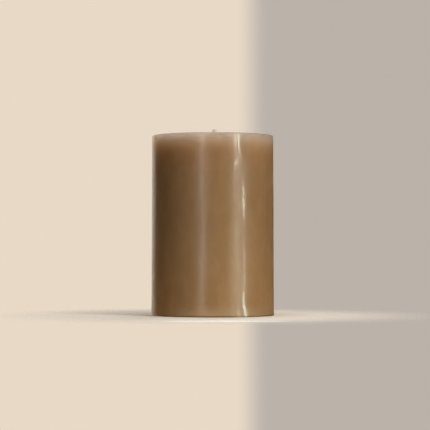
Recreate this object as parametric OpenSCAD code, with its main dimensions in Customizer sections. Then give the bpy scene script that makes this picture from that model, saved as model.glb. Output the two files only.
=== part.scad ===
// Moulded pillar candle: a cast wax cylinder, a cotton wick through its middle
// and a pressed metal sustainer that holds the foot of the wick.
// Millimetres, +Z up, origin at the middle of the base.

/* [Wax body] */
// Diameter of the candle where it stands
base_d = 75; // [50:1:120]
// Height of the wax, from the base to the rim round the top
body_h = 110; // [60:1:220]
// Draft of the side that lets the candle leave its mould, in degrees
draft = 0.16; // [0:0.02:1]
// Radius of the edge round the base
foot_r = 0.5; // [0.2:0.1:3]
// Width of the rim round the sunken top
rim_w = 3; // [2:0.5:8]
// Radius of the outer edge of the rim
rim_r = 0.8; // [0.3:0.1:1.2]
// Radius of the inner edge of the rim
lip_r = 1.5; // [0.5:0.1:3]
// Depth of the sunken top, which holds the melted wax
pool_h = 3; // [1:0.5:6]
// Width of the slope between the rim and the floor of the sunken top
pool_slope = 5; // [4:0.5:10]
// Radius of the bend at the foot of that slope
pool_r = 8; // [2:0.5:10]
// Height of the fillet of wax that climbs the wick
collar_h = 1; // [0.3:0.1:3]
// Thickness of that fillet at its upper edge
collar_lip = 0.3; // [0.1:0.1:1]

/* [Wick] */
// Diameter of the wick
wick_d = 2.6; // [1.5:0.1:5]
// Height of the bare end above the fillet, up to its level cut
wick_end = 6; // [2:0.5:15]
// Lean of the wick where it is cut, in degrees
wick_lean = 27; // [5:1:35]
// Length of the wick's cut end below the sustainer's neck
wick_tail = 0.5; // [0:0.1:1]

/* [Sustainer] */
// Diameter of the pressed disc
disc_d = 20; // [15:1:40]
// Thickness of the sheet
sheet_t = 0.3; // [0.2:0.05:0.5]
// Depth of the disc's flange inside the base of the candle
disc_inset = 0.6; // [0.2:0.1:2]
// Diameter of the raised middle of the disc
dish_d = 10; // [8:0.5:14]
// Height of the raised middle above the flange
dish_h = 1; // [0.6:0.1:2]
// Width of the sloping step between the flange and the raised middle
step_w = 0.8; // [0.4:0.1:2]
// Height of the neck above the raised middle
neck_h = 6; // [5:0.5:15]
// Radius of the bend at the foot of the neck
neck_bend_r = 0.7; // [0.4:0.1:1]
// Number of crimps that pinch the neck onto the wick
crimp_count = 4; // [2:1:6]
// Radius of the punch that makes a crimp
crimp_r = 1.2; // [0.8:0.1:1.6]
// Depth of a crimp
crimp_depth = 0.35; // [0.1:0.05:0.5]
// Height of the crimps above the raised middle
crimp_z = 3.6; // [2.6:0.1:4]

/* [Fit] */
// Room between the wick and what it passes through
wick_gap = 0.05; // [0.02:0.01:0.2]
// Room between the wax and the rim and neck of the sustainer
metal_gap = 0.1; // [0.02:0.02:0.4]

/* [Hidden] */
$fn = 96;
// Straight runs in each rounded corner of an outline
corner_steps = 8;
base_r = base_d / 2;
top_r = base_r - body_h * tan(draft);
bore_r = wick_d / 2 + wick_gap;
// Radius of the middle of the neck's sheet
neck_r = bore_r + sheet_t / 2;
// Heights of the middle of the sheet, along the flange and along the raised middle
flange_z = disc_inset + sheet_t / 2;
dish_z = flange_z + dish_h;
neck_top = dish_z + neck_h;

function unit(v) = v / norm(v);
function left_of(v) = [-v[1], v[0]];
function reversed(list) = [for (i = [len(list) - 1:-1:0]) list[i]];

// Arc of radius r that rounds the corner q between its neighbours p and s
function corner(p, q, s, r) =
    let (
        to_p = unit(p - q),
        to_s = unit(s - q),
        half = acos(to_p * to_s) / 2,
        middle = q + unit(to_p + to_s) * r / sin(half),
        first = q + to_p * r / tan(half) - middle,
        last = q + to_s * r / tan(half) - middle,
        from = atan2(first[1], first[0]),
        swing = atan2(last[1], last[0]) - from,
        sweep = swing - 360 * round(swing / 360)
    )
    [for (k = [0:corner_steps])
        let (angle = from + sweep * k / corner_steps)
        middle + r * [cos(angle), sin(angle)]];

// Point i of a path, pushed d to the left of the way the path runs
function pushed(path, i, d) =
    let (
        last = len(path) - 1,
        before = unit(path[max(i, 1)] - path[max(i, 1) - 1]),
        after = unit(path[min(i, last - 1) + 1] - path[min(i, last - 1)]),
        across = unit(left_of(before) + left_of(after))
    )
    path[i] + across * d / (across * left_of(before));
function beside(path, d) = [for (i = [0:len(path) - 1]) pushed(path, i, d)];

// Middle of the sustainer's sheet, from its rim to the top of its neck
neck_foot = [neck_r, dish_z];
sheet_path = concat(
    [
        [disc_d / 2, flange_z],
        [dish_d / 2 + step_w, flange_z],
        [dish_d / 2, dish_z],
    ],
    corner([dish_d / 2, dish_z], neck_foot, [neck_r, neck_top], neck_bend_r),
    [[neck_r, neck_top]]
);
sheet_under = beside(sheet_path, sheet_t / 2);
sheet_over = beside(sheet_path, -sheet_t / 2);

// Outside of the wax, from the recess in the base over the rim to the bore at the top
recess_r = disc_d / 2 + metal_gap;
collar_r = bore_r + collar_lip;
pool_z = body_h - pool_h;
collar_top = pool_z + collar_h;
recess_edge = [recess_r, 0];
foot_corner = [base_r, 0];
rim_corner = [top_r, body_h];
lip_corner = [top_r - rim_w, body_h];
slope_foot = [top_r - rim_w - pool_slope, pool_z];
collar_foot = [collar_r, pool_z];
wax_outside = concat(
    [recess_edge],
    corner(recess_edge, foot_corner, rim_corner, foot_r),
    corner(foot_corner, rim_corner, lip_corner, rim_r),
    corner(rim_corner, lip_corner, slope_foot, lip_r),
    corner(lip_corner, slope_foot, collar_foot, pool_r),
    corner(slope_foot, collar_foot, [collar_r, collar_top], collar_h),
    [[bore_r, collar_top]]
);

// Inside of the wax, down the bore and round the neck and disc of the sustainer
socket_r = neck_r + sheet_t / 2 + metal_gap;
socket_top = neck_top + metal_gap;
cast_path = [for (p = sheet_over) if (p[0] > socket_r && p[0] < disc_d / 2) p];
flange_top = flange_z + sheet_t / 2;
wax_inside = concat(
    [[bore_r, socket_top], [socket_r, socket_top]],
    reversed(cast_path),
    [[recess_r, flange_top]]
);

module wax_body() {
    color("#96714c")
    rotate_extrude()
    polygon(concat(wax_outside, wax_inside));
}

// Punch marks round the neck, as balls of radius r
module crimps(r) {
    reach = neck_r + sheet_t / 2 + crimp_r - crimp_depth;
    for (i = [0:crimp_count - 1])
        rotate([0, 0, 360 * i / crimp_count])
        translate([reach, 0, dish_z + crimp_z])
        sphere(r);
}

// Bare end of the wick, curved over to one side and cut level
module wick_tip() {
    bend_r = wick_end / sin(wick_lean);
    intersection() {
        translate([bend_r, 0, collar_top])
        rotate([90, 0, 180])
        rotate_extrude(angle = 2 * wick_lean)
        translate([bend_r, 0])
        circle(d = wick_d);
        translate([-wick_d, -wick_d, collar_top])
        cube([bend_r + wick_d, 2 * wick_d, wick_end]);
    }
}

module wick() {
    foot_z = dish_z - sheet_t / 2 - wick_tail;
    color("#d8cbb8") {
        difference() {
            translate([0, 0, foot_z])
            cylinder(d = wick_d, h = collar_top - foot_z);
            crimps(crimp_r + sheet_t);
        }
        wick_tip();
    }
}

module wick_sustainer() {
    color("#b9bcc0")
    difference() {
        union() {
            rotate_extrude()
            polygon(concat(sheet_under, reversed(sheet_over)));
            intersection() {
                crimps(crimp_r + sheet_t);
                translate([0, 0, dish_z])
                cylinder(r = neck_r, h = neck_h);
            }
        }
        crimps(crimp_r);
    }
}

wax_body();
wick();
wick_sustainer();
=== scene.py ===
"""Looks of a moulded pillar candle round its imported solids: turned wax with a hazy sheen,
a braided cotton wick and a tinplate sustainer, on a plain pale floor."""
import math
import random

import bpy
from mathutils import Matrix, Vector


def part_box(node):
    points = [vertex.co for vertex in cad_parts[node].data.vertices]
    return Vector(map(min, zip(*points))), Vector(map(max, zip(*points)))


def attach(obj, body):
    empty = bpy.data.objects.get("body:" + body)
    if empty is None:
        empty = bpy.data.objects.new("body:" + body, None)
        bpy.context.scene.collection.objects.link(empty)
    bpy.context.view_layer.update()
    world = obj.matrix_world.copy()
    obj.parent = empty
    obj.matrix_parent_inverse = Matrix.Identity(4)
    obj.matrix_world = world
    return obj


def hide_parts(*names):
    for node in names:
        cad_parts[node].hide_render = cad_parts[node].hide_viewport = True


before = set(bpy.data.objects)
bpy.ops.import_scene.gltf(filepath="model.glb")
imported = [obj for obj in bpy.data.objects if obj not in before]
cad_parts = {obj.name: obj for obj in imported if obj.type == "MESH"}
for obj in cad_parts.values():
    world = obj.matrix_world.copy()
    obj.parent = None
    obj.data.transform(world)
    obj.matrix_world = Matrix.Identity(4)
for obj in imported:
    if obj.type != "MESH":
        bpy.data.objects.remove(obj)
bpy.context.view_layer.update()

MM = 0.001

# Sizes of the candle, from the parts in model.glb where it gives them
wax_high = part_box("wax_body")[1]
wick_low, wick_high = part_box("wick")
disc_low, disc_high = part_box("wick_sustainer")
DRAFT = math.radians(0.16)
FOOT_R = 0.5 * MM
RIM_W = 3.0 * MM
RIM_R = 0.8 * MM
LIP_R = 1.5 * MM
POOL_H = 3.0 * MM
POOL_SLOPE = 5.0 * MM
POOL_R = 8.0 * MM
COLLAR_H = 1.0 * MM
COLLAR_LIP = 0.3 * MM
WICK_R = 1.3 * MM
WICK_LEAN = math.radians(27)
WICK_GAP = 0.05 * MM
SHEET_T = 0.3 * MM
METAL_GAP = 0.1 * MM
DISH_R = 5.0 * MM
DISH_H = 1.0 * MM
STEP_W = 0.8 * MM
CRIMP_Z = 3.6 * MM
body_h = wax_high.z
base_r = wax_high.x
top_r = base_r - body_h * math.tan(DRAFT)
pool_z = body_h - POOL_H
collar_top = pool_z + COLLAR_H
bore_r = WICK_R + WICK_GAP


# Modelling helpers

# Points closer than this become one, and a cut takes points this close as lying on it
MERGE_D = 0.005 * MM
CUT_D = 0.001 * MM


def rounded(before, at, after, radius, steps):
    """Points along the arc that rounds a corner of an outline."""
    corner = Vector(at)
    to_before = (Vector(before) - corner).normalized()
    to_after = (Vector(after) - corner).normalized()
    half = to_before.angle(to_after) / 2
    middle = corner + (to_before + to_after).normalized() * radius / math.sin(half)
    first = (corner + to_before * radius / math.tan(half) - middle).normalized()
    last = (corner + to_after * radius / math.tan(half) - middle).normalized()
    return [tuple(middle + first.slerp(last, k / steps) * radius) for k in range(steps + 1)]


def line(start, end, steps):
    """Points along a straight run, without its two ends."""
    return [tuple(Vector(start).lerp(Vector(end), k / steps)) for k in range(1, steps)]


def turned(name, outline, steps):
    """Draw a closed outline of (radius, height) points and spin it round Z into one shell."""
    bpy.ops.object.select_all(action="DESELECT")
    bpy.ops.mesh.primitive_plane_add(size=MM)
    piece = bpy.context.object
    piece.name = name
    bpy.ops.object.mode_set(mode="EDIT")
    bpy.ops.mesh.select_all(action="SELECT")
    bpy.ops.mesh.merge(type="CENTER")
    bpy.ops.transform.translate(value=(outline[0][0], 0, outline[0][1]))
    for here, there in zip(outline, outline[1:] + outline[:1]):
        step = (there[0] - here[0], 0, there[1] - here[1])
        bpy.ops.mesh.extrude_region_move(TRANSFORM_OT_translate={"value": step})
    bpy.ops.mesh.select_all(action="SELECT")
    bpy.ops.mesh.remove_doubles(threshold=MERGE_D)
    bpy.ops.mesh.spin(steps=steps, angle=math.tau, center=(0, 0, 0), axis=(0, 0, 1))
    bpy.ops.mesh.select_all(action="SELECT")
    bpy.ops.mesh.remove_doubles(threshold=MERGE_D)
    bpy.ops.mesh.normals_make_consistent(inside=False)
    bpy.ops.object.mode_set(mode="OBJECT")
    return piece


def smooth(piece, degrees):
    """Shade a piece smooth, apart from its edges that are sharper than an angle in degrees."""
    bpy.ops.object.select_all(action="DESELECT")
    piece.select_set(True)
    bpy.context.view_layer.objects.active = piece
    bpy.ops.object.shade_smooth_by_angle(angle=math.radians(degrees))


# Wax body

# Lengths of the straight runs along the side and the floor of the top, and counts of them elsewhere
SIDE_STEP = 1.0 * MM
FLOOR_STEP = 1.2 * MM
BASE_STEPS = 10
LAND_STEPS = 3
SLOPE_STEPS = 4
ARC_STEPS = 8
SMALL_ARC_STEPS = 6
TURN_STEPS = 224
WAX_CREASE = 35
# Wax that climbs the wick, as steps out from the bore and up from the top of the fillet in mm
MENISCUS = ((0.27, -0.07), (0.18, 0.0), (0.0, 0.05), (-0.25, 0.13), (-0.45, 0.25))
# The wax has soaked into the wick, and only a thin core of it is left open
SOAK_R = 0.3 * MM
# The fillet round the wick, too thin to glow, lies within this radius
THIN_R = 2.7 * MM
# Slow waves in the side: size, depth, length of the fade at its two ends, and place of the pattern
WAVE_SIZE = 36 * MM
WAVE_DEPTH = 0.22 * MM
WAVE_FADE = 2.5 * MM
WAVE_PLACE = (0.013, 0.021, 0.007)
# Only points further out than this take the waves
SIDE_R = 0.95 * top_r
# Shallow hollows in the side, and one swell with a depth below zero: turn to the right of the front
# in degrees, then height, reach and depth in mm
HOLLOWS = (
    (33, 108, 9, 0.42),
    (33, 99, 9, 0.36),
    (44, 105, 16, 0.45),
    (24, 1, 11, 0.40),
    (26, 104, 8, 0.06),
    (33.5, 6, 8, 0.10),
    (38, 30, 16, -0.22),
)


def wax_outline():
    """Outline of the wax: up the side, over the rim to the wick, down the bore and round the recess."""
    recess_r = disc_high.x + METAL_GAP
    flange_top = disc_low.z + SHEET_T
    dish_top = flange_top + DISH_H
    socket_r = bore_r + SHEET_T + METAL_GAP
    socket_top = disc_high.z + METAL_GAP
    collar_r = bore_r + COLLAR_LIP
    recess_edge = (recess_r, 0)
    foot_corner = (base_r, 0)
    rim_corner = (top_r, body_h)
    lip_corner = (top_r - RIM_W, body_h)
    slope_foot = (top_r - RIM_W - POOL_SLOPE, pool_z)
    collar_foot = (collar_r, pool_z)
    foot = rounded(recess_edge, foot_corner, rim_corner, FOOT_R, SMALL_ARC_STEPS)
    rim = rounded(foot_corner, rim_corner, lip_corner, RIM_R, ARC_STEPS)
    lip = rounded(rim_corner, lip_corner, slope_foot, LIP_R, SMALL_ARC_STEPS)
    bend = rounded(lip_corner, slope_foot, collar_foot, POOL_R, ARC_STEPS)
    collar = rounded(slope_foot, collar_foot, (collar_r, collar_top), COLLAR_H, ARC_STEPS)
    base = line(recess_edge, foot[0], BASE_STEPS)
    side = line(foot[-1], rim[0], round((rim[0][1] - foot[-1][1]) / SIDE_STEP))
    land = line(rim[-1], lip[0], LAND_STEPS)
    slope = line(lip[-1], bend[0], SLOPE_STEPS)
    floor = line(bend[-1], collar[0], round((bend[-1][0] - collar[0][0]) / FLOOR_STEP))
    climb = [(bore_r + out * MM, collar_top + up * MM) for out, up in MENISCUS]
    inside = [
        (SOAK_R, climb[-1][1]),
        (SOAK_R, socket_top),
        (socket_r, socket_top),
        (socket_r, dish_top + SHEET_T),
        (DISH_R, dish_top),
        (DISH_R + STEP_W, flange_top),
        (recess_r, flange_top),
        recess_edge,
    ]
    top = rim + land + lip + slope + bend + floor + collar[:-1]
    return foot + side + top + climb + inside + base


def wave_weights(piece):
    """Mark the side for the slow waves, fading out at its two ends."""
    group = piece.vertex_groups.new(name="side")
    for vertex in piece.data.vertices:
        if vertex.co.xy.length > SIDE_R:
            room = min(vertex.co.z, body_h - vertex.co.z)
            group.add([vertex.index], min(1, room / WAVE_FADE), "REPLACE")
    return group


def press_hollow(piece, turn, height, reach, depth):
    """Push the side in at one place, or out for a swell, the push dying away over the reach."""
    angle = math.radians(turn)
    out = Vector((math.sin(angle), -math.cos(angle), 0))
    spot = out * base_r + Vector((0, 0, height * MM))
    bpy.ops.object.mode_set(mode="EDIT")
    bpy.ops.mesh.select_all(action="DESELECT")
    bpy.ops.object.mode_set(mode="OBJECT")
    nearest = min(piece.data.vertices, key=lambda vertex: (vertex.co - spot).length_squared)
    nearest.select = True
    bpy.ops.object.mode_set(mode="EDIT")
    bpy.ops.transform.translate(
        value=-out * depth * MM,
        use_proportional_edit=True,
        proportional_edit_falloff="SMOOTH",
        proportional_size=reach * MM,
    )
    bpy.ops.object.mode_set(mode="OBJECT")


def mark_thin(piece):
    """Give the thin fillet round the wick the second of the wax's two materials."""
    for face in piece.data.polygons:
        if face.center.xy.length < THIN_R and face.center.z > pool_z:
            face.material_index = 1


def make_wax():
    """The wax pillar, turned from its outline, with its hollows and slow waves."""
    piece = turned("wax_pillar", wax_outline(), TURN_STEPS)
    for hollow in HOLLOWS:
        press_hollow(piece, *hollow)
    group = wave_weights(piece)
    waves = bpy.data.textures.new("slow waves", "CLOUDS")
    waves.noise_scale = WAVE_SIZE
    waves.noise_depth = 1
    bpy.ops.object.empty_add(location=WAVE_PLACE)
    place = bpy.context.object
    smooth(piece, WAX_CREASE)
    push = piece.modifiers.new("waves", "DISPLACE")
    push.texture = waves
    push.texture_coords = "OBJECT"
    push.texture_coords_object = place
    push.strength = WAVE_DEPTH
    push.mid_level = 0.5
    push.vertex_group = group.name
    bpy.ops.object.modifier_apply(modifier=push.name)
    bpy.data.objects.remove(place)
    piece.vertex_groups.clear()
    return piece


# Wick

# Yarns of the braid: radius, reach of the weave in and out, length of a turn and of a straight run
YARN_R = 0.36 * MM
YARN_WAVE = 0.30 * MM
YARN_TURN = 5.2 * MM
YARN_STEP = 0.3 * MM
YARNS_EACH_WAY = 4
CORE_R = 0.8 * MM
# Rounding of a strand's tube
TUBE_STEPS = 2
WICK_CREASE = 50
# Shares of its width that the wick loses at the crimps and gains at its cut end, and their lengths
WAIST = 0.22
WAIST_L = 1.4 * MM
FLARE = 0.16
FLARE_L = 2.0 * MM
# Length of strand beyond the cut, which the cut takes off
SPARE_L = 1.5 * MM
# The strands spring back unevenly where they are cut
CUT_STEP = 0.035 * MM
CORE_DROP = 0.3 * MM
FIBRES = 26
FIBRE_R = 0.03 * MM
FIBRE_STEPS = 5
FIBRE_SEED = 4
# Least and most of a loose fibre: how far below the cut it starts and its length in mm, its twist
# in radians, and its place as a share of the wick's radius
FIBRE_FOOT = (0.7, 1.4)
FIBRE_L = (0.4, 0.8)
FIBRE_TWIST = (-0.25, 0.25)
FIBRE_PLACE = (0.5, 0.95)
# Shares of its length that a loose fibre loses in height and strays outwards as it curls
FIBRE_CURL = 0.4
FIBRE_STRAY = 0.5
bend_r = (wick_high.z - collar_top) / math.sin(WICK_LEAN)
straight_l = collar_top - wick_low.z
wick_l = straight_l + bend_r * WICK_LEAN
crimp_s = disc_low.z + SHEET_T + DISH_H + CRIMP_Z - wick_low.z
yarn_ring_r = WICK_R - YARN_R - YARN_WAVE


def wick_point(s, around, out):
    """Point at a length s up the wick, at an angle around its centre and a distance out from it."""
    across, side = out * math.cos(around), out * math.sin(around)
    if s <= straight_l:
        return (across, side, wick_low.z + s)
    lean = (s - straight_l) / bend_r
    x = bend_r - (bend_r - across) * math.cos(lean)
    z = collar_top + (bend_r - across) * math.sin(lean)
    return (x, side, z)


def swell(s):
    """Share of the wick's width: less where the crimps pinch it, more where its cut end opens."""
    pinched = WAIST * math.exp(-((s - crimp_s) / WAIST_L) ** 2)
    opened = FLARE * max(0, 1 - (wick_l - s) / FLARE_L) ** 2
    return 1 - pinched + opened


def tube(name, points, radius):
    """A capped tube along a smooth path, as a mesh."""
    bpy.ops.object.select_all(action="DESELECT")
    bpy.ops.curve.primitive_nurbs_path_add()
    path = bpy.context.object
    path.name = name
    spline = path.data.splines[0]
    spline.points.add(len(points) - len(spline.points))
    for slot, point in zip(spline.points, points):
        slot.co = (*point, 1)
    spline.use_endpoint_u = True
    spline.resolution_u = 1
    path.data.bevel_depth = radius
    path.data.bevel_resolution = TUBE_STEPS
    path.data.use_fill_caps = True
    bpy.ops.object.convert(target="MESH")
    return bpy.context.object


def cut_level(piece, drop):
    """Cut a strand off level, a little below the top of the wick."""
    bpy.ops.object.mode_set(mode="EDIT")
    bpy.ops.mesh.select_all(action="SELECT")
    bpy.ops.mesh.bisect(
        plane_co=(0, 0, wick_high.z - drop),
        plane_no=(0, 0, 1),
        use_fill=True,
        clear_outer=True,
        threshold=CUT_D,
    )
    bpy.ops.object.mode_set(mode="OBJECT")
    return piece


def yarn(number, way):
    """One yarn of the braid, which weaves over and under those that wind the other way."""
    length = wick_l + SPARE_L
    steps = round(length / YARN_STEP)
    points = []
    for k in range(steps + 1):
        s = length * k / steps
        around = way * math.tau * s / YARN_TURN + math.tau * number / YARNS_EACH_WAY
        weave = way * YARN_WAVE * math.cos(YARNS_EACH_WAY * math.tau * s / YARN_TURN)
        points.append(wick_point(s, around, (yarn_ring_r + weave) * swell(s)))
    return cut_level(tube("yarn", points, YARN_R), CUT_STEP * (2 * number + (way < 0)))


def core():
    """The plain strand inside the braid."""
    length = wick_l + SPARE_L
    steps = round(length / (2 * YARN_STEP))
    points = [wick_point(length * k / steps, 0, 0) for k in range(steps + 1)]
    return cut_level(tube("core", points, CORE_R), CORE_DROP)


def fibre(draw):
    """One loose fibre that curls out of the cut end."""
    around = draw.uniform(0, math.tau)
    foot = wick_l - draw.uniform(*FIBRE_FOOT) * MM
    length = draw.uniform(*FIBRE_L) * MM
    twist = draw.uniform(*FIBRE_TWIST)
    out = draw.uniform(*FIBRE_PLACE) * WICK_R
    points = []
    for k in range(FIBRE_STEPS + 1):
        share = k / FIBRE_STEPS
        s = foot + length * share * (1 - FIBRE_CURL * share)
        stray = FIBRE_STRAY * length * share ** 2
        points.append(wick_point(s, around + twist * share, out + stray))
    return tube("fibre", points, FIBRE_R)


def make_wick():
    """The wick: a braid of yarns round a core, with loose fibres at its cut end."""
    yarns = [yarn(number, way) for way in (1, -1) for number in range(YARNS_EACH_WAY)]
    draw = random.Random(FIBRE_SEED)
    fibres = [fibre(draw) for _ in range(FIBRES)]
    middle = core()
    bpy.ops.object.select_all(action="DESELECT")
    for piece in yarns + fibres + [middle]:
        piece.select_set(True)
    bpy.context.view_layer.objects.active = middle
    bpy.ops.object.join()
    middle.name = "braided_wick"
    smooth(middle, WICK_CREASE)
    return middle


# Shader helpers and shared effects

# Sockets of a Mix node that take and give colours
MIX_FIRST = 6
MIX_SECOND = 7
MIX_RESULT = 2
# Where a soft spot starts to fade and where it ends, as shares of its reach with the ragged edge added
SPOT_CORE = 0.4
SPOT_END = 1.35


def colour(red, green, blue):
    """A colour written as sRGB from 0 to 255, as linear RGBA."""
    def linear(value):
        share = value / 255
        return share / 12.92 if share <= 0.04045 else ((share + 0.055) / 1.055) ** 2.4
    return (linear(red), linear(green), linear(blue), 1.0)


def add_node(tree, kind, feeds, values=None, **settings):
    """Add a node with its settings, its plain input values and the sockets that feed it."""
    node = tree.nodes.new(kind)
    for name, value in settings.items():
        setattr(node, name, value)
    for socket, value in (values or {}).items():
        node.inputs[socket].default_value = value
    for socket, source in feeds.items():
        tree.links.new(source, node.inputs[socket])
    return node


def new_group(name, vectors, numbers):
    """A node group with vector inputs, number inputs and one mask, still to be filled."""
    group = bpy.data.node_groups.new(name, "ShaderNodeTree")
    for label in vectors:
        group.interface.new_socket(label, in_out="INPUT", socket_type="NodeSocketVector")
    for label, value in numbers.items():
        made = group.interface.new_socket(label, in_out="INPUT", socket_type="NodeSocketFloat")
        made.default_value = value
    group.interface.new_socket("Mask", in_out="OUTPUT", socket_type="NodeSocketFloat")
    return group, group.nodes.new("NodeGroupInput"), group.nodes.new("NodeGroupOutput")


def clouds_group():
    """Soft clouds from 0 to 1, stretched along Z, with a low and a high cut."""
    group, given, result = new_group(
        "Soft clouds",
        ["Vector"],
        {"Stretch": 1.0, "Scale": 40.0, "Detail": 3.0, "Low": 0.3, "High": 0.7},
    )
    shape = add_node(
        group, "ShaderNodeCombineXYZ", {"Z": given.outputs["Stretch"]}, {"X": 1, "Y": 1})
    squeeze = add_node(
        group,
        "ShaderNodeVectorMath",
        {0: given.outputs["Vector"], 1: shape.outputs["Vector"]},
        operation="MULTIPLY",
    )
    noise = add_node(
        group,
        "ShaderNodeTexNoise",
        {
            "Vector": squeeze.outputs["Vector"],
            "Scale": given.outputs["Scale"],
            "Detail": given.outputs["Detail"],
        },
    )
    cut = add_node(
        group,
        "ShaderNodeMapRange",
        {
            "Value": noise.outputs["Fac"],
            "From Min": given.outputs["Low"],
            "From Max": given.outputs["High"],
        },
        interpolation_type="SMOOTHSTEP",
    )
    group.links.new(cut.outputs["Result"], result.inputs["Mask"])
    return group


def spot_group():
    """One soft spot with a ragged edge, 1 at its centre and 0 beyond its reach along each axis."""
    group, given, result = new_group(
        "Soft spot",
        ["Vector", "Centre", "Reach"],
        {"Ragged": 0.5, "Scale": 300.0},
    )
    offset = add_node(
        group,
        "ShaderNodeVectorMath",
        {0: given.outputs["Vector"], 1: given.outputs["Centre"]},
        operation="SUBTRACT",
    )
    share = add_node(
        group,
        "ShaderNodeVectorMath",
        {0: offset.outputs["Vector"], 1: given.outputs["Reach"]},
        operation="DIVIDE",
    )
    length = add_node(
        group, "ShaderNodeVectorMath", {0: share.outputs["Vector"]}, operation="LENGTH")
    noise = add_node(
        group,
        "ShaderNodeTexNoise",
        {"Vector": given.outputs["Vector"], "Scale": given.outputs["Scale"]},
    )
    edge = add_node(
        group,
        "ShaderNodeMath",
        {0: noise.outputs["Fac"], 1: given.outputs["Ragged"], 2: length.outputs["Value"]},
        operation="MULTIPLY_ADD",
    )
    cut = add_node(
        group,
        "ShaderNodeMapRange",
        {"Value": edge.outputs["Value"]},
        {"From Min": SPOT_CORE, "From Max": SPOT_END, "To Min": 1, "To Max": 0},
        interpolation_type="SMOOTHSTEP",
    )
    group.links.new(cut.outputs["Result"], result.inputs["Mask"])
    return group


clouds_effect = clouds_group()
spot_effect = spot_group()


class Finish:
    """A material being built on one Principled shader, with short calls for its nodes."""

    def __init__(self, name, constants):
        self.material = bpy.data.materials.new(name)
        self.material.use_nodes = True
        self.tree = self.material.node_tree
        self.shader = self.tree.nodes["Principled BSDF"]
        self.place = self.tree.nodes.new("ShaderNodeTexCoord").outputs["Object"]
        for socket, value in constants.items():
            self.shader.inputs[socket].default_value = value

    def mask(self, effect, values):
        """A mask from a shared effect, placed by object coordinates."""
        node = add_node(
            self.tree, "ShaderNodeGroup", {"Vector": self.place}, values, node_tree=effect)
        return node.outputs["Mask"]

    def clouds(self, scale, low, high, stretch=1.0, detail=3.0):
        """A mask of soft clouds."""
        return self.mask(clouds_effect, {
            "Stretch": stretch, "Scale": scale, "Detail": detail, "Low": low, "High": high})

    def spot(self, turn, height, wide, tall):
        """A mask of one ragged spot on the side, at a turn in degrees, with the rest in mm."""
        angle = math.radians(turn)
        centre = (base_r * math.sin(angle), -base_r * math.cos(angle), height * MM)
        return self.mask(spot_effect, {
            "Centre": centre, "Reach": (wide * MM, wide * MM, tall * MM)})

    def reckon(self, operation, first, second):
        """One sum on a socket and a second value, a number or a socket."""
        plain = isinstance(second, (int, float))
        feeds = {0: first} if plain else {0: first, 1: second}
        node = add_node(
            self.tree, "ShaderNodeMath", feeds, {1: second} if plain else None, operation=operation)
        return node.outputs["Value"]

    def most(self, masks):
        """The greatest of several masks."""
        highest = masks[0]
        for mask in masks[1:]:
            highest = self.reckon("MAXIMUM", highest, mask)
        return highest

    def times(self, first, second):
        """Product of a socket and a number or another socket."""
        return self.reckon("MULTIPLY", first, second)

    def ramp(self, value, low, high, start=0.0, end=1.0):
        """Map a value from one range to another, smoothly and within it."""
        node = add_node(
            self.tree,
            "ShaderNodeMapRange",
            {"Value": value},
            {"From Min": low, "From Max": high, "To Min": start, "To Max": end},
            interpolation_type="SMOOTHSTEP",
        )
        return node.outputs["Result"]

    def mix(self, share, first, second):
        """Mix two colours, each a plain colour or a socket."""
        tones = {MIX_FIRST: first, MIX_SECOND: second}
        plain = {socket: tone for socket, tone in tones.items() if isinstance(tone, tuple)}
        feeds = {socket: tone for socket, tone in tones.items() if socket not in plain}
        feeds["Factor"] = share
        node = add_node(self.tree, "ShaderNodeMix", feeds, plain, data_type="RGBA")
        return node.outputs[MIX_RESULT]

    def height(self):
        """Height above the base."""
        node = add_node(self.tree, "ShaderNodeSeparateXYZ", {"Vector": self.place})
        return node.outputs["Z"]

    def spread(self):
        """Distance from the candle's middle line."""
        flat = add_node(
            self.tree, "ShaderNodeVectorMath", {0: self.place}, {1: (1, 1, 0)}, operation="MULTIPLY")
        node = add_node(
            self.tree, "ShaderNodeVectorMath", {0: flat.outputs["Vector"]}, operation="LENGTH")
        return node.outputs["Value"]

    def relief(self, height, depth):
        """A bump of a given depth from a height mask."""
        node = add_node(self.tree, "ShaderNodeBump", {"Height": height}, {"Distance": depth})
        self.to("Normal", node.outputs["Normal"])

    def to(self, socket, value):
        """Feed one of the shader's own sockets."""
        self.tree.links.new(value, self.shader.inputs[socket])


# Materials

# Tones of the wax, with painted light and shade among them: a painted glow near the rim, painted shade
# on the rim's edge, painted light at the foot, a painted shadow along the foot's contact line, and pale
# smears that are partly painted sheen
WAX_DEEP = colour(140, 106, 69)
WAX_BODY = colour(149, 115, 77)
WAX_PALE = colour(160, 128, 90)
WAX_UPPER = colour(188, 153, 112)
RIM_GLOW_TONE = colour(170, 149, 128)
EDGE_SHADE_TONE = colour(118, 99, 79)
FOOT_LIGHT_TONE = colour(184, 156, 118)
CONTACT_SHADE_TONE = colour(92, 68, 44)
SMEAR_AND_SHEEN_TONE = colour(198, 174, 142)
# Where a tone comes and goes with height or with distance from the middle: the two ends of the band,
# then its share at each, which is from none to all where it isn't given
UPPER_BAND = (15 * MM, 92 * MM, 0.0, 0.17)
# Painted glow near the rim, standing in for light that passes through the wax from the top, fading again
# at the very edge
RIM_GLOW_BAND = (body_h - 13 * MM, body_h - 2 * MM, 0.0, 0.62)
RIM_GLOW_FADE = (body_h - 3 * MM, body_h, 1.0, 0.3)
RIM_GLOW_SPREAD = (24 * MM, 34 * MM)
# Painted shade on the rounded outer edge of the rim
EDGE_SHADE_BAND = (body_h - 4.5 * MM, body_h - 0.6 * MM, 0.0, 0.8)
EDGE_SHADE_SPREAD = (34.4 * MM, 37.2 * MM)
# Painted light at the foot, from the floor below
FOOT_LIGHT_BAND = (0.0, 9 * MM, 0.6, 0.0)
# Painted shadow along the foot, where it meets the floor
CONTACT_SHADE_BAND = (0.3 * MM, 1.1 * MM, 0.85, 0.0)
CONTACT_SHADE_SPREAD = (36.9 * MM, 37.2 * MM)
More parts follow.
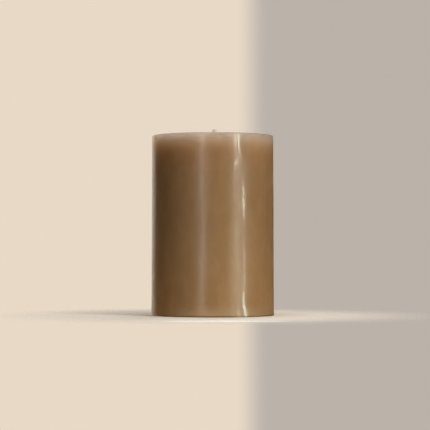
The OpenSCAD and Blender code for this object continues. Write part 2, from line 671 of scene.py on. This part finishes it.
# Clouds in the wax: scale, low cut, high cut, stretch along Z, and detail where it isn't the usual
BROAD_CLOUDS = (34, 0.3, 0.72, 0.6)
SMALL_CLOUDS = (150, 0.35, 0.75, 0.7)
FILM_CLOUDS = (420, 0.42, 0.72, 0.35)
STREAK_CLOUDS = (260, 0.3, 0.7, 0.4)
WAVY_CLOUDS = (240, 0.1, 0.9, 0.5, 2)
# Shares of the small clouds, the pale smears, which are partly bloom and partly painted sheen, and the
# film of polish
SMALL_SHARE = 0.45
SMEAR_AND_SHEEN_SHARE = 0.12
FILM_SHARE = 0.1
WAX_ROUGH = (0.28, 0.38)
WAVY_DEPTH = 0.019 * MM
# Polished places in the bloom on the side: turn in degrees, then height, half width and half height
# in mm, and last how far the polish has gone
POLISHED = (
    (27, 104, 6, 10, 0.95),
    (24.5, 94.5, 1.8, 2.5, 0.6),
    (22, 92, 1.8, 3, 0.7),
    (19, 89.5, 1.8, 3.5, 0.75),
    (32.5, 69, 5, 14, 0.85),
    (32.5, 37, 5, 8, 0.25),
    (33, 22, 5, 10, 0.4),
    (30, 4, 5, 14, 1.0),
    (-84, 80, 14, 110, 0.72),
)
# Pale smears on the side, partly bloom and partly painted sheen beside the highlight, the film of polish
# and the painted light on the paler foot, in the same order
SMEARED_AND_SHEEN = (
    (20, 30, 5, 30),
    (21, 84, 5, 14),
)
FILM_SPOT = (21, 52, 9, 50)
FOOT_LIGHT_SPOT = (12, 0, 40, 60)


def wax_material(name, scatter):
    """Mottled wax with a dull bloom, polished in places, that lets light in by a share."""
    wax = Finish(name, {
        "IOR": 1.5,
        "Subsurface Weight": scatter,
        "Subsurface Radius": (1.0, 0.9, 0.8),
        "Subsurface Scale": 60 * MM,
        "Coat Roughness": 0.13,
        "Coat IOR": 1.7,
    })
    mottled = wax.mix(wax.clouds(*BROAD_CLOUDS), WAX_DEEP, WAX_BODY)
    mottled = wax.mix(wax.times(wax.clouds(*SMALL_CLOUDS), SMALL_SHARE), mottled, WAX_PALE)
    mottled = wax.mix(wax.ramp(wax.height(), *UPPER_BAND), mottled, WAX_UPPER)
    # Painted glow: paler towards the rim, for light that passes through the wax from the top, and less
    # so at the very edge
    painted_rim_glow = wax.times(wax.ramp(wax.height(), *RIM_GLOW_BAND), wax.ramp(wax.height(), *RIM_GLOW_FADE))
    painted_rim_glow = wax.times(painted_rim_glow, wax.ramp(wax.spread(), *RIM_GLOW_SPREAD))
    mottled = wax.mix(painted_rim_glow, mottled, RIM_GLOW_TONE)
    # Painted shade: darker on the rounded outer edge of the rim
    edge = wax.times(wax.ramp(wax.height(), *EDGE_SHADE_BAND), wax.ramp(wax.spread(), *EDGE_SHADE_SPREAD))
    mottled = wax.mix(edge, mottled, EDGE_SHADE_TONE)
    # Painted light: paler towards the foot at the front, standing in for light thrown up from the floor
    painted_foot_light = wax.times(wax.ramp(wax.height(), *FOOT_LIGHT_BAND), wax.spot(*FOOT_LIGHT_SPOT))
    mottled = wax.mix(painted_foot_light, mottled, FOOT_LIGHT_TONE)
    # Painted shadow: darker in the lowest millimetre of the side, where the foot meets the floor
    painted_contact_shade = wax.times(wax.ramp(wax.height(), *CONTACT_SHADE_BAND), wax.ramp(wax.spread(), *CONTACT_SHADE_SPREAD))
    mottled = wax.mix(painted_contact_shade, mottled, CONTACT_SHADE_TONE)
    # Pale smears, partly bloom on the wax and partly painted sheen beside the highlight
    smears_and_sheen = wax.most([wax.spot(*place) for place in SMEARED_AND_SHEEN])
    wax.to("Base Color", wax.mix(wax.times(smears_and_sheen, SMEAR_AND_SHEEN_SHARE), mottled, SMEAR_AND_SHEEN_TONE))
    film = wax.times(wax.clouds(*FILM_CLOUDS), wax.times(wax.spot(*FILM_SPOT), FILM_SHARE))
    polished = wax.most([film] + [wax.times(wax.spot(*place), share) for *place, share in POLISHED])
    wax.to("Coat Weight", polished)
    wax.to("Roughness", wax.ramp(wax.clouds(*STREAK_CLOUDS), 0, 1, *WAX_ROUGH))
    dull = wax.ramp(polished, 0, 1, 1, 0)
    wax.relief(wax.times(wax.clouds(*WAVY_CLOUDS), dull), WAVY_DEPTH)
    return wax.material


# Tones of the cotton, its clouds as for the wax, and the depth of its fibres
COTTON_GREY = colour(226, 214, 200)
COTTON_PALE = colour(242, 234, 223)
COTTON_WAXED = colour(172, 140, 104)
WAXED_BAND = (collar_top - 0.2 * MM, collar_top + 2.4 * MM, 0.7, 0.0)
YARN_CLOUDS = (2200, 0.3, 0.7, 0.25)
FIBRE_CLOUDS = (5200, 0.25, 0.75, 0.2)
FIBRE_DEPTH = 0.06 * MM


def cotton_material():
    """Pale spun cotton, soaked with wax at its foot."""
    cotton = Finish("waxed_cotton", {
        "Roughness": 0.75,
        "Sheen Weight": 0.3,
        "Sheen Roughness": 0.5,
    })
    dry = cotton.mix(cotton.clouds(*YARN_CLOUDS), COTTON_GREY, COTTON_PALE)
    soaked = cotton.ramp(cotton.height(), *WAXED_BAND)
    cotton.to("Base Color", cotton.mix(soaked, dry, COTTON_WAXED))
    cotton.relief(cotton.clouds(*FIBRE_CLOUDS), FIBRE_DEPTH)
    return cotton.material


# Tones of the tinplate, its clouds as for the wax, its roughness and the depth of its grain
TIN_GREY = colour(176, 178, 180)
TIN_PALE = colour(206, 207, 206)
SPANGLE_CLOUDS = (420, 0.3, 0.7)
RUBBED_CLOUDS = (900, 0.3, 0.7)
GRAIN_CLOUDS = (3000, 0.2, 0.8)
TIN_ROUGH = (0.24, 0.42)
GRAIN_DEPTH = 0.01 * MM


def tinplate_material():
    """Spangled tinplate, unevenly rubbed."""
    tin = Finish("tinplate", {"Metallic": 1.0})
    tin.to("Base Color", tin.mix(tin.clouds(*SPANGLE_CLOUDS), TIN_GREY, TIN_PALE))
    tin.to("Roughness", tin.ramp(tin.clouds(*RUBBED_CLOUDS), 0, 1, *TIN_ROUGH))
    tin.relief(tin.clouds(*GRAIN_CLOUDS), GRAIN_DEPTH)
    return tin.material


def dress(piece, *materials):
    """Give a piece these materials in place of its own."""
    piece.data.materials.clear()
    for material in materials:
        piece.data.materials.append(material)


# Camera at the photograph's view

# Frame, focal length, and the horizon's and the candle's distance from the frame's middle, in pixels
FRAME_PX = 430
FOCAL_PX = 1772
HORIZON_PX = 36.3
AXIS_PX = 2.35
CAMERA_D = 1087 * MM
CAMERA_H = 39.2 * MM
# Width of the camera's sensor, in its own millimetres
SENSOR = 36


def make_camera():
    """The camera, pitched so that the horizon lies where it does in the photograph."""
    bpy.ops.object.select_all(action="DESELECT")
    pitch = math.atan(HORIZON_PX / FOCAL_PX)
    place = (CAMERA_D * AXIS_PX / FOCAL_PX, -CAMERA_D, CAMERA_H)
    bpy.ops.object.camera_add(location=place, rotation=(math.pi / 2 + pitch, 0, 0))
    camera = bpy.context.object
    camera.data.sensor_width = SENSOR
    camera.data.lens = SENSOR * FOCAL_PX / FRAME_PX
    bpy.context.scene.camera = camera


# Light and stage

# Lamps: the kind of reflection that each is left out of, its turn to the right of the camera in degrees,
# its height, distance, width and tallness in metres, its power in watts and its tint
LAMPS = {
    "window": ("diffuse", 45.5, 0.15, 0.9, 0.17, 0.8, 2.4, (1.0, 1.0, 0.85)),
    "strip": ("diffuse", 58.9, 0.15, 0.9, 0.05, 0.8, 1.5, (0.92, 1.0, 0.84)),
    "panel": ("diffuse", -19.1, 0.15, 1.2, 0.13, 0.9, 2.8, (1.0, 0.93, 0.86)),
    "key": ("glossy", 43, 0.4, 1.1, 0.4, 0.6, 9.25, (1.0, 0.975, 0.925)),
    "left": ("glossy", -30, 0.5, 1.1, 0.4, 0.6, 1.4, (1.0, 0.88, 0.8)),
    "low": ("glossy", 4, 0.015, 0.11, 0.06, 0.03, 0.015, (0.8, 1.0, 1.05)),
    "top": ("none", 10, 1.0, 0.05, 0.4, 0.4, 2.8, (1.0, 0.97, 0.93)),
    "back": ("glossy", 160, 0.4, 1.0, 0.5, 0.6, 3.2, (1.0, 0.97, 0.93)),
}


def make_lamp(name, left_out, turn, height, distance, width, tall, power, tint):
    """An area lamp aimed at the middle of the candle."""
    bpy.ops.object.select_all(action="DESELECT")
    angle = math.radians(turn)
    place = Vector((distance * math.sin(angle), -distance * math.cos(angle), height))
    aim = Vector((0, 0, body_h / 2)) - place
    facing = aim.to_track_quat("-Z", "Y").to_euler()
    bpy.ops.object.light_add(type="AREA", location=place, rotation=facing)
    lamp = bpy.context.object
    lamp.name = name
    lamp.data.shape = "RECTANGLE"
    lamp.data.size = width
    lamp.data.size_y = tall
    lamp.data.energy = power
    lamp.data.color = tint
    lamp.visible_camera = False
    lamp.visible_diffuse = left_out != "diffuse"
    lamp.visible_glossy = left_out != "glossy"


FLAG_R = 1.35
FLAG_H = 1.1
FLAG_SIDES = 180
FLAG_TONE = colour(56, 52, 48)
FLAG_ROUGH = 0.9
# Stretch left open in the ring of dark flags, as turns to the right of the front in degrees
FLAG_GAP = (166, 223)


def make_flags():
    """A ring of dark studio flags that keeps the pale room out of the wax's sheen."""
    bpy.ops.object.select_all(action="DESELECT")
    bpy.ops.mesh.primitive_cylinder_add(
        vertices=FLAG_SIDES, radius=FLAG_R, depth=2 * FLAG_H, end_fill_type="NOTHING")
    flags = bpy.context.object
    flags.name = "flags"
    bpy.ops.object.mode_set(mode="EDIT")
    bpy.ops.mesh.select_all(action="DESELECT")
    bpy.ops.object.mode_set(mode="OBJECT")
    for face in flags.data.polygons:
        turn = math.degrees(math.atan2(face.center.x, -face.center.y))
        face.select = FLAG_GAP[0] < turn % 360 < FLAG_GAP[1]
    bpy.ops.object.mode_set(mode="EDIT")
    bpy.ops.mesh.delete(type="FACE")
    bpy.ops.object.mode_set(mode="OBJECT")
    flags.visible_camera = False
    material = bpy.data.materials.new("dark_flag")
    material.use_nodes = True
    shader = material.node_tree.nodes["Principled BSDF"]
    shader.inputs["Base Color"].default_value = FLAG_TONE
    shader.inputs["Roughness"].default_value = FLAG_ROUGH
    dress(flags, material)


# The room: a wall in two tones, the stretch where one turns into the other, and the light it gives
WALL_LIT = colour(232, 217, 198)
WALL_SHADED = colour(187, 178, 170)
WALL_TURN = (0.011, 0.03)
FILL_TONE = colour(250, 239, 230)
FILL_STRENGTH = 0.27


def make_world():
    """A pale room, with its wall for what is seen and mirrored and an even fill for the rest."""
    world = bpy.data.worlds.new("pale room")
    bpy.context.scene.world = world
    world.use_nodes = True
    tree = world.node_tree
    tree.nodes.clear()
    ray = tree.nodes.new("ShaderNodeLightPath")
    seen = ray.outputs["Is Camera Ray"]
    for kind in ("Is Glossy Ray", "Is Transmission Ray"):
        either = add_node(
            tree, "ShaderNodeMath", {0: seen, 1: ray.outputs[kind]}, operation="MAXIMUM")
        seen = either.outputs["Value"]
    way = tree.nodes.new("ShaderNodeTexCoord")
    split = add_node(tree, "ShaderNodeSeparateXYZ", {"Vector": way.outputs["Generated"]})
    turn = add_node(
        tree,
        "ShaderNodeMapRange",
        {"Value": split.outputs["X"]},
        {"From Min": WALL_TURN[0], "From Max": WALL_TURN[1]},
        interpolation_type="SMOOTHSTEP",
    )
    wall = add_node(
        tree,
        "ShaderNodeMix",
        {"Factor": turn.outputs["Result"]},
        {MIX_FIRST: WALL_LIT, MIX_SECOND: WALL_SHADED},
        data_type="RGBA",
    )
    backdrop = add_node(tree, "ShaderNodeBackground", {"Color": wall.outputs[MIX_RESULT]})
    fill = add_node(
        tree, "ShaderNodeBackground", {}, {"Color": FILL_TONE, "Strength": FILL_STRENGTH})
    choose = add_node(
        tree,
        "ShaderNodeMixShader",
        {"Fac": seen, 1: fill.outputs["Background"], 2: backdrop.outputs["Background"]},
    )
    add_node(tree, "ShaderNodeOutputWorld", {"Surface": choose.outputs["Shader"]})


# The floor fades from this radius out to its edge
FLOOR_FADE = 0.05
FLOOR_R = 0.16
FLOOR_SIDES = 96
FLOOR_TONE = colour(240, 233, 222)
FLOOR_ROUGH = 0.8
FLOOR_GLOSS = 0.2


def make_floor():
    """A pale floor that fades into the room with distance and is clear from below."""
    bpy.ops.object.select_all(action="DESELECT")
    bpy.ops.mesh.primitive_circle_add(vertices=FLOOR_SIDES, radius=FLOOR_R, fill_type="NGON")
    floor = bpy.context.object
    floor.name = "floor"
    floor.visible_glossy = False
    finish = Finish("pale_floor", {
        "Base Color": FLOOR_TONE,
        "Roughness": FLOOR_ROUGH,
        "Specular IOR Level": FLOOR_GLOSS,
    })
    tree = finish.tree
    reach = add_node(tree, "ShaderNodeVectorMath", {0: finish.place}, operation="LENGTH")
    fade = add_node(
        tree,
        "ShaderNodeMapRange",
        {"Value": reach.outputs["Value"]},
        {"From Min": FLOOR_FADE, "From Max": FLOOR_R, "To Min": 1, "To Max": 0},
        interpolation_type="SMOOTHERSTEP",
    )
    facing = tree.nodes.new("ShaderNodeNewGeometry")
    above = add_node(
        tree,
        "ShaderNodeMath",
        {0: fade.outputs["Result"], 1: facing.outputs["Backfacing"]},
        operation="SUBTRACT",
        use_clamp=True,
    )
    finish.to("Alpha", above.outputs["Value"])
    dress(floor, finish.material)


# Build

make_camera()
wax = make_wax()
dress(wax, wax_material("taupe_wax", 1.0), wax_material("thin_wax", 0.0))
mark_thin(wax)
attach(wax, "root")
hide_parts("wax_body")

wick = make_wick()
dress(wick, cotton_material())
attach(wick, "root")
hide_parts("wick")

dress(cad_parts["wick_sustainer"], tinplate_material())

for name, values in LAMPS.items():
    make_lamp(name, *values)
make_flags()
make_world()
make_floor()
bpy.context.scene.view_settings.view_transform = "Standard"
